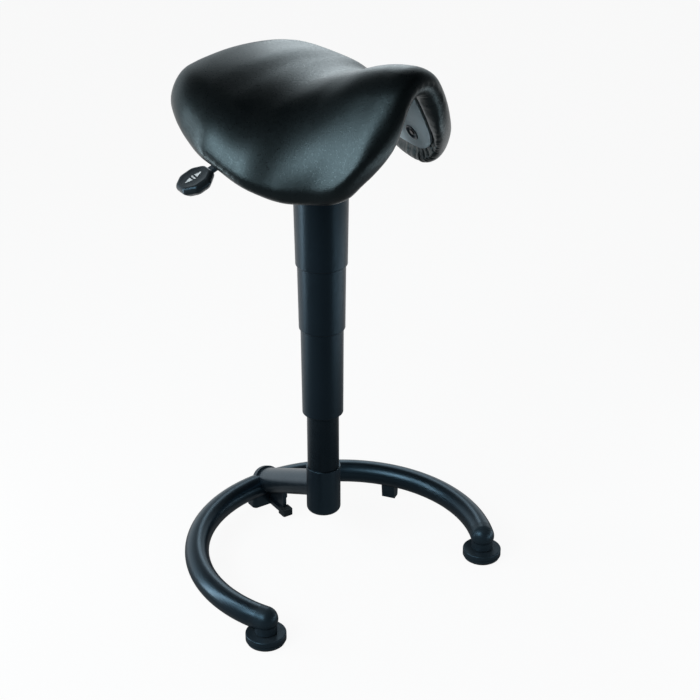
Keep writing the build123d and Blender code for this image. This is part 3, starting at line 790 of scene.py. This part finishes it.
def powder_coat(name, colour, rough=0.32, dust=0.02, edge=0.12, gloss=1.0, coat=0.1):
    """Baked powder coat: orange-peel skin, worn a little on its edges"""
    material, nodes, shader, place = new_material(name)
    mottle = nodes.group(mottle_group(), place=place, broad=8.0, fine=330.0)
    skin = nodes.group(stipple_group(), place=place, size=0.0017)
    wear = nodes.group(wear_group(), place=place, edge=edge, dust=dust)
    base = nodes.mix(mottle.outputs["Broad"], tint(colour, 0.85), tint(colour, 1.15))
    base = nodes.mix(wear.outputs["Edge"], base, RUBBED_PAINT)
    base = nodes.mix(wear.outputs["Dust"], base, PAINT_DUST)
    nodes.join(base, shader.inputs["Base Color"])
    value = nodes.math("MULTIPLY_ADD", mottle.outputs["Fine"], 0.08, rough - 0.04)
    value = nodes.math("MULTIPLY_ADD", wear.outputs["Dust"], 0.35, value)
    nodes.join(value, shader.inputs["Roughness"])
    shader.inputs["Specular IOR Level"].default_value = gloss
    shader.inputs["Specular Tint"].default_value = COOL_GLOSS
    shader.inputs["Coat Weight"].default_value = coat
    shader.inputs["Coat Roughness"].default_value = 0.2
    bump(nodes, shader, skin.outputs["Height"], 0.2, 0.0003)
    return material


def bare_steel(name, colour, rough=0.28):
    """Plain bright steel with fine turning marks"""
    material, nodes, shader, place = new_material(name)
    mottle = nodes.group(mottle_group(), place=place, broad=30.0, fine=900.0)
    base = nodes.mix(mottle.outputs["Broad"], tint(colour, 0.85), tint(colour, 1.1))
    nodes.join(base, shader.inputs["Base Color"])
    shader.inputs["Metallic"].default_value = 1.0
    value = nodes.math("MULTIPLY_ADD", mottle.outputs["Fine"], 0.14, rough - 0.07)
    nodes.join(value, shader.inputs["Roughness"])
    bump(nodes, shader, mottle.outputs["Fine"], 0.1, 0.0001)
    return material


def felt():
    """Pressed felt of the glide soles"""
    material, nodes, shader, place = new_material("felt")
    fibre = nodes.noise(place, 900.0, 6.0, 0.7)
    base = nodes.mix(fibre, (0.03, 0.03, 0.03, 1), (0.09, 0.09, 0.09, 1))
    nodes.join(base, shader.inputs["Base Color"])
    shader.inputs["Roughness"].default_value = 0.95
    shader.inputs["Sheen Weight"].default_value = 0.3
    bump(nodes, shader, fibre, 0.6, 0.0006)
    return material


def dress(material, *names):
    """Gives CAD pieces a material"""
    for name in names:
        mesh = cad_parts[name].data
        mesh.materials.clear()
        mesh.materials.append(material)


class STOOL_OT_saddle(bpy.types.Operator):
    """Upholstered saddle: stuffed cover with gathers drawn in round the shell"""

    bl_idname = "stool.saddle"
    bl_label = "Saddle"

    def execute(self, context):
        settings = context.scene.stool_saddle
        rings = [seat_to_frame(ring, settings.swivel) for ring in saddle_rings(settings)]
        saddle = link(bpy.data.objects.new("saddle_cover", ring_mesh("saddle_cover", rings)))
        remesh = saddle.modifiers.new("even", "REMESH")
        remesh.mode = "VOXEL"
        remesh.voxel_size = settings.voxel
        apply_modifier(saddle, remesh)
        relax = saddle.modifiers.new("relax", "SMOOTH")
        relax.factor = 0.5
        relax.iterations = 4
        apply_modifier(saddle, relax)
        swell(saddle, settings)
        fine = saddle.modifiers.new("fine", "SUBSURF")
        fine.levels = 1
        fine.render_levels = 1
        apply_modifier(saddle, fine)
        gather(saddle, settings)
        shade_smooth(saddle)
        saddle.data.materials.append(leatherette())
        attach(saddle, "seat")
        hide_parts("seat_cushion")
        return {"FINISHED"}


def screw_places(swivel):
    """Seat and axis of each flap screw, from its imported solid"""
    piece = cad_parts["flap_screws"]
    points = np.array([piece.matrix_world @ vertex.co for vertex in piece.data.vertices])
    left = np.array((math.cos(swivel), math.sin(swivel), 0))
    beside = (points - COLUMN_AXIS) @ left
    places = []
    for side in (1, -1):
        head = points[beside * side > 0]
        middle = head.mean(0)
        axis = np.linalg.eigh(np.cov((head - middle).T))[1][:, 0]
        if axis @ left * side > 0:
            axis = -axis
        places.append((middle + axis * ((head - middle) @ axis).min(), axis))
    return places


# Cup's section: radius and height over the recess floor, in millimetres
CUP_SECTION = (
    (3.0, 0.05), (9.7, 0.05), (9.7, 1.2), (12.4, 1.2), (12.6, 2.5), (12.1, 3.1),
    (10.7, 3.3), (9.6, 2.7), (8.9, 1.2), (8.0, 0.5), (3.0, 0.4),
)
CUP_POINTS = 48


class STOOL_OT_under_seat(bpy.types.Operator):
    """Moulded pan, plate, hub and fixings under the saddle, and dark cups that paint the shade in the
    screw recesses
    """

    bl_idname = "stool.under_seat"
    bl_label = "Under the seat"

    def execute(self, context):
        column = context.scene.stool_column
        base = context.scene.stool_base
        dress(satin_plastic("pan_plastic", column.shell_colour, 0.5, 0.0011, 0.3), "seat_shell")
        paint = powder_coat("plate_paint", base.paint_colour, 0.38)
        dress(paint, "seat_plate", "seat_hub", "lever_arm")
        steel = bare_steel("bright_steel", (0.5, 0.5, 0.5))
        dress(steel, "plate_bolts", "lever_pivot_pin", "valve_pin")
        dress(bare_steel("dark_screw", (0.05, 0.05, 0.052), 0.35), "flap_screws")
        # Painted shade: the cups that line the screw recesses take the paddle's dark colour to stand
        # for the shade inside the recesses
        dark = satin_plastic("cup_plastic", context.scene.stool_lever.colour, 0.4)
        places = screw_places(context.scene.stool_saddle.swivel)
        for number, (seat, axis) in enumerate(places, 1):
            self.cup(f"screw_cup_{number}", seat, axis, dark)
        return {"FINISHED"}

    def cup(self, name, seat, axis, material):
        """Dark cup that lines a screw's recess; its dark colour is painted shade of the recess"""
        across = np.cross(axis, (0, 0, 1))
        across /= np.linalg.norm(across)
        along = np.cross(axis, across)
        turns = np.linspace(0, 2 * math.pi, CUP_POINTS, endpoint=False)[:, None]
        circle = np.cos(turns) * across + np.sin(turns) * along
        rings = [seat + (radius * circle + height * axis) * MM for radius, height in CUP_SECTION]
        cup = link(bpy.data.objects.new(name, ring_mesh(name, rings)))
        shade_smooth(cup)
        cup.data.materials.append(material)
        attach(cup, "seat")


def cut_outline(length, width, cut, soft):
    """Rectangle with cut and softened corners, as points in its plane"""
    half, side = length / 2, width / 2
    quarter = [(half, side - cut), (half - cut, side), (cut - half, side), (-half, side - cut)]
    corners = np.array(quarter + [(-x, -y) for x, y in quarter])
    points = []
    for k, corner in enumerate(corners):
        before = corners[k - 1] - corner
        after = corners[(k + 1) % len(corners)] - corner
        start = corner + before / np.linalg.norm(before) * soft
        end = corner + after / np.linalg.norm(after) * soft
        for t in np.linspace(0, 1, SOFT_POINTS):
            points.append((1 - t) ** 2 * start + 2 * t * (1 - t) * corner + t**2 * end)
    return np.array(points)


def paddle_to_frame(points, lever):
    """Paddle places (outward, across, up in millimetres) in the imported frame, in metres"""
    outward = np.array((math.cos(lever.bearing), math.sin(lever.bearing), 0))
    upward = np.array((0, 0, 1))
    along = outward * math.cos(lever.slope) - upward * math.sin(lever.slope)
    across = np.cross(upward, outward)
    out = np.cross(along, across)
    middle = outward * lever.reach + upward * lever.height
    points = np.asarray(points, float)
    spots = middle + points[:, :1] * along + points[:, 1:2] * across + points[:, 2:] * out
    return spots * MM + COLUMN_AXIS


# Paddle's section: inset from the outline and height, in millimetres
PADDLE_SECTION = (
    (10.0, -10.5), (7.4, -10.3), (6.2, -9.6), (1.2, -3.6), (0.3, -2.0),
    (0.0, -0.6), (0.0, 1.4), (0.5, 3.2), (1.7, 5.5), (3.2, 6.7),
    (4.8, 7.0), (6.4, 6.85), (9.0, 6.5), (13.0, 6.3), (18.0, 6.2),
)
# How much a cut corner shrinks with the inset, how far its ends are softened, in millimetres
# and as a share of the cut, and points round each of them
CUT_PER_INSET = 0.586
SOFTEST_CUT = 4.0
SOFT_SHARE = 0.4
SOFT_POINTS = 8
# The printed mark: its foot in the paddle and its face, in millimetres, and its outlines
MARK_FOOT = 5.8
MARK_FACE = 6.65
MARK_OUTLINES = (
    ((4, -5), (14, 0), (4, 5)),
    ((-4, 5), (-14, 0), (-4, -5)),
    ((-1, -6), (1, -6), (1, 6), (-1, 6)),
)


class STOOL_OT_lever(bpy.types.Operator):
    """Hand paddle of the height lever, with a plain up and down mark"""

    bl_idname = "stool.lever"
    bl_label = "Lever"

    def execute(self, context):
        lever = context.scene.stool_lever
        rings = []
        for inset, height in PADDLE_SECTION:
            cut = lever.cut - CUT_PER_INSET * inset
            soft = min(SOFTEST_CUT, cut * SOFT_SHARE)
            line = cut_outline(lever.length - 2 * inset, lever.width - 2 * inset, cut, soft)
            level = np.full(len(line), height)
            rings.append(paddle_to_frame(np.column_stack((line, level)), lever))
        paddle = link(bpy.data.objects.new("paddle", ring_mesh("paddle", rings)))
        shade_smooth(paddle)
        plastic = satin_plastic("paddle_plastic", lever.colour, 0.3, 0.0008, 0.14)
        paddle.data.materials.append(plastic)
        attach(paddle, "lever")
        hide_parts("lever_paddle")
        self.mark(lever)
        return {"FINISHED"}

    def mark(self, lever):
        """Two arrow heads and a bar, printed on the paddle's face"""
        mesh = bpy.data.meshes.new("paddle_mark")
        points, faces = [], []
        for outline in MARK_OUTLINES:
            first = len(points)
            count = len(outline)
            points += [(x, y, MARK_FOOT) for x, y in outline]
            points += [(x, y, MARK_FACE) for x, y in outline]
            faces.append(tuple(range(first + count, first + 2 * count)))
            for k in range(count):
                after = (k + 1) % count
                faces.append((first + k, first + after, first + count + after, first + count + k))
        mesh.from_pydata(paddle_to_frame(points, lever).tolist(), [], faces)
        mark = link(bpy.data.objects.new("paddle_mark", mesh))
        printed = satin_plastic("mark_print", lever.mark_colour, 0.45, 0.0006, 0.1)
        mark.data.materials.append(printed)
        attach(mark, "lever")


class STOOL_OT_column(bpy.types.Operator):
    """Telescopic covers, column tube and gas spring"""

    bl_idname = "stool.column"
    bl_label = "Column"

    def execute(self, context):
        column = context.scene.stool_column
        covers = satin_plastic("cover_plastic", column.cover_colour, 0.38, 0.0008, 0.16, 0.02)
        dress(covers, "cover_lower", "cover_middle", "cover_upper")
        tube = powder_coat("tube_paint", column.tube_colour, 0.3, 0.02, 0.03, 0.45, 0.0)
        dress(tube, "column_tube", "pressure_tube")
        dress(bare_steel("rod_steel", (0.6, 0.61, 0.62), 0.16), "piston_rod")
        natural = satin_plastic("natural_plastic", (0.55, 0.54, 0.5), 0.45)
        dress(natural, "guide_bush", "rod_gland", "piston")
        bearing = bare_steel("bearing_steel", (0.52, 0.52, 0.53), 0.2)
        dress(bearing, "bearing_race_lower", "bearing_race_upper", "bearing_balls", "rod_clip")
        dress(satin_plastic("buffer_rubber", (0.012, 0.012, 0.012), 0.7), "rod_buffer")
        return {"FINISHED"}


class STOOL_OT_base(bpy.types.Operator):
    """Tube ring, arm and socket"""

    bl_idname = "stool.base"
    bl_label = "Base"

    def execute(self, context):
        base = context.scene.stool_base
        paint = powder_coat("base_paint", base.paint_colour)
        dress(paint, "base_ring", "arm_tube", "column_socket", "rear_stop")
        return {"FINISHED"}


class STOOL_OT_feet(bpy.types.Operator):
    """End caps, glides and floor feet"""

    bl_idname = "stool.feet"
    bl_label = "Feet"

    def execute(self, context):
        base = context.scene.stool_base
        moulded = satin_plastic("foot_plastic", base.foot_colour, 0.36, 0.001, 0.2)
        for side in ("left", "right"):
            dress(moulded, f"ring_end_cap_{side}", f"glide_pad_{side}", f"rear_side_foot_{side}")
        dress(moulded, "arm_end_cap")
        steel = bare_steel("stud_steel", (0.5, 0.5, 0.5))
        dress(steel, "glide_stud_left", "glide_stud_right")
        dress(felt(), "glide_sole_left", "glide_sole_right")
        rubber = satin_plastic("stop_rubber", (0.014, 0.014, 0.014), 0.6, 0.0014, 0.3)
        dress(rubber, "rear_stop_pad")
        return {"FINISHED"}


# Camera's heading and place, in metres
CAMERA_HEADING = (0.5541, 0.8324, 0)
CAMERA_PLACE = (-1.1244, -1.7651 - COLUMN_FORWARD, 1.390)
# Headings of the floor's and the surround's bright side, as gloss shows them
BRIGHT_FLOOR = (0.25, 0.97)
BRIGHT_SURROUND = (0.3, 0.954)
# How gloss sees them fade: start and end along the heading or in height, and the levels there
FLOOR_FADE = (0.05, 0.65, 0.06, 0.85)
SURROUND_FADE = (0.2, 0.8, 0.06, 0.75)
HEIGHT_FADE = (0.25, 0.68, 1.0, 0.04)
# Half the floor's size in metres, its share of plain white, and the share of its colour and the
# level of the surround that light the object
FLOOR_HALF = 9
FLOOR_WHITE = 0.93
FLOOR_BOUNCE = 0.18
FILL_LEVEL = 0.16
# Lamps: name, place, target, size in metres, and the setting that holds the power
LAMPS = (
    ("back_softbox", (0.94, 1.29, 1.22), (0.0, 0.0, 0.75), (0.45, 0.95), "back"),
    ("flank_softbox", (-2.09, -0.44, 1.84), (0.0, 0.0, 0.7), (1.7, 1.1), "flank"),
    ("left_strip", (-0.86, 0.50, 0.62), (0.0, 0.0, 0.62), (0.2, 1.2), "strip"),
    ("right_panel", (0.69, -0.54, 0.1), (0.0, 0.0, 0.1), (1.1, 0.16), "right"),
)


def towards(nodes, vector, heading):
    """How far a place or direction lies along a level heading, and its height"""
    parts = nodes.add("ShaderNodeSeparateXYZ")
    nodes.join(vector, parts.inputs[0])
    across = nodes.math("MULTIPLY", parts.outputs["Y"], heading[1])
    return nodes.math("MULTIPLY_ADD", parts.outputs["X"], heading[0], across), parts.outputs["Z"]


def seen_rays(nodes):
    """Light Path, and the mask of rays that look straight or through glass"""
    rays = nodes.add("ShaderNodeLightPath").outputs
    return rays, nodes.math("MAXIMUM", rays["Is Camera Ray"], rays["Is Transmission Ray"])


def area_light(name, place, target, size, power, colour):
    data = bpy.data.lights.new(name, "AREA")
    data.shape = "RECTANGLE"
    data.size, data.size_y = size
    data.energy = power
    data.color = colour
    light = link(bpy.data.objects.new(name, data))
    light.location = place
    light.rotation_euler = (Vector(target) - Vector(place)).to_track_quat("-Z", "Y").to_euler()


class STOOL_OT_stage(bpy.types.Operator):
    """Camera, floor, soft lights and a white surround"""

    bl_idname = "stool.stage"
    bl_label = "Stage"

    def execute(self, context):
        stage = context.scene.stool_stage
        self.camera(stage)
        self.floor(stage)
        self.surround(stage)
        for name, place, target, size, power in LAMPS:
            area_light(name, place, target, size, getattr(stage, power), stage.lamp_colour)
        context.scene.view_settings.view_transform = "Standard"
        return {"FINISHED"}

    def camera(self, stage):
        data = bpy.data.cameras.new("camera")
        data.sensor_width = 36
        data.lens = stage.lens
        camera = link(bpy.data.objects.new("camera", data))
        heading = Vector(CAMERA_HEADING).normalized()
        ahead = heading * math.cos(stage.pitch) - Vector((0, 0, math.sin(stage.pitch)))
        right = ahead.cross(Vector((0, 0, 1))).normalized()
        up = right.cross(ahead)
        turn = Matrix((right, up, -ahead)).transposed().to_4x4()
        camera.matrix_world = Matrix.Translation(CAMERA_PLACE) @ turn
        bpy.context.scene.camera = camera

    def floor(self, stage):
        half = FLOOR_HALF
        corners = [(-half, -half, 0), (half, -half, 0), (half, half, 0), (-half, half, 0)]
        mesh = bpy.data.meshes.new("floor")
        mesh.from_pydata(corners, [], [(0, 1, 2, 3)])
        floor = link(bpy.data.objects.new("floor", mesh))
        material = bpy.data.materials.new("floor_pale")
        material.use_nodes = True
        material.node_tree.nodes.clear()
        nodes = Nodes(material.node_tree)
        pale = nodes.add("ShaderNodeBsdfDiffuse")
        white = nodes.add("ShaderNodeEmission")
        white.inputs["Strength"].default_value = 1.0
        rays, seen = seen_rays(nodes)
        place = nodes.add("ShaderNodeTexCoord").outputs["Object"]
        ahead, _ = towards(nodes, place, BRIGHT_FLOOR)
        share = nodes.remap(ahead, *FLOOR_FADE)
        mirrored = nodes.math("MULTIPLY", rays["Is Glossy Ray"], share)
        colour = stage.floor_colour
        bounce = nodes.mix(seen, tint(colour, FLOOR_BOUNCE), tint(colour, 1))
        nodes.join(bounce, pale.inputs["Color"])
        blend = nodes.add("ShaderNodeMixShader")
        shown = nodes.math("MAXIMUM", nodes.math("MULTIPLY", seen, FLOOR_WHITE), mirrored)
        nodes.join(shown, blend.inputs["Fac"])
        nodes.join(pale.outputs[0], blend.inputs[1])
        nodes.join(white.outputs[0], blend.inputs[2])
        output = nodes.add("ShaderNodeOutputMaterial")
        nodes.join(blend.outputs[0], output.inputs["Surface"])
        mesh.materials.append(material)

    def surround(self, stage):
        world = bpy.data.worlds.new("surround")
        bpy.context.scene.world = world
        world.use_nodes = True
        world.node_tree.nodes.clear()
        nodes = Nodes(world.node_tree)
        direction = nodes.add("ShaderNodeTexCoord").outputs["Generated"]
        ahead, height = towards(nodes, direction, BRIGHT_SURROUND)
        behind = nodes.remap(ahead, *SURROUND_FADE)
        low = nodes.remap(height, *HEIGHT_FADE)
        rays, seen = seen_rays(nodes)
        mirrored = nodes.math("MULTIPLY", behind, low)
        studio = nodes.mix(rays["Is Glossy Ray"], FILL_LEVEL, mirrored, "FLOAT")
        level = nodes.mix(seen, studio, 1.0, "FLOAT")
        back = nodes.add("ShaderNodeBackground")
        nodes.join(level, back.inputs["Strength"])
        colour = nodes.mix(seen, tint(stage.lamp_colour, 1), (1, 1, 1, 1))
        nodes.join(colour, back.inputs["Color"])
        output = nodes.add("ShaderNodeOutputWorld")
        nodes.join(back.outputs[0], output.inputs["Surface"])


class STOOL_PT_panel(bpy.types.Panel):
    """Lists the stool's settings and the steps that build it"""

    bl_label = "Stool"
    bl_space_type = "VIEW_3D"
    bl_region_type = "UI"
    bl_category = "Stool"

    def draw(self, context):
        layout = self.layout
        for operator in OPERATORS:
            layout.operator(operator.bl_idname)
        for setting in GROUPS:
            group = getattr(context.scene, setting)
            box = layout.box()
            for name in group.__annotations__:
                box.prop(group, name)


OPERATORS = (
    STOOL_OT_stage,
    STOOL_OT_saddle,
    STOOL_OT_under_seat,
    STOOL_OT_lever,
    STOOL_OT_column,
    STOOL_OT_base,
    STOOL_OT_feet,
)
GROUPS = {
    "stool_saddle": SaddleSettings,
    "stool_lever": LeverSettings,
    "stool_column": ColumnSettings,
    "stool_base": BaseSettings,
    "stool_stage": StageSettings,
}


def register():
    for group in GROUPS.values():
        bpy.utils.register_class(group)
    for operator in OPERATORS:
        bpy.utils.register_class(operator)
    bpy.utils.register_class(STOOL_PT_panel)
    for name, group in GROUPS.items():
        setattr(bpy.types.Scene, name, PointerProperty(type=group))


def unregister():
    for name in GROUPS:
        delattr(bpy.types.Scene, name)
    bpy.utils.unregister_class(STOOL_PT_panel)
    for operator in reversed(OPERATORS):
        bpy.utils.unregister_class(operator)
    for group in reversed(GROUPS.values()):
        bpy.utils.unregister_class(group)


def main():
    register()
    for operator in OPERATORS:
        getattr(bpy.ops.stool, operator.bl_idname.split(".")[1])()


if __name__ == "__main__":
    main()
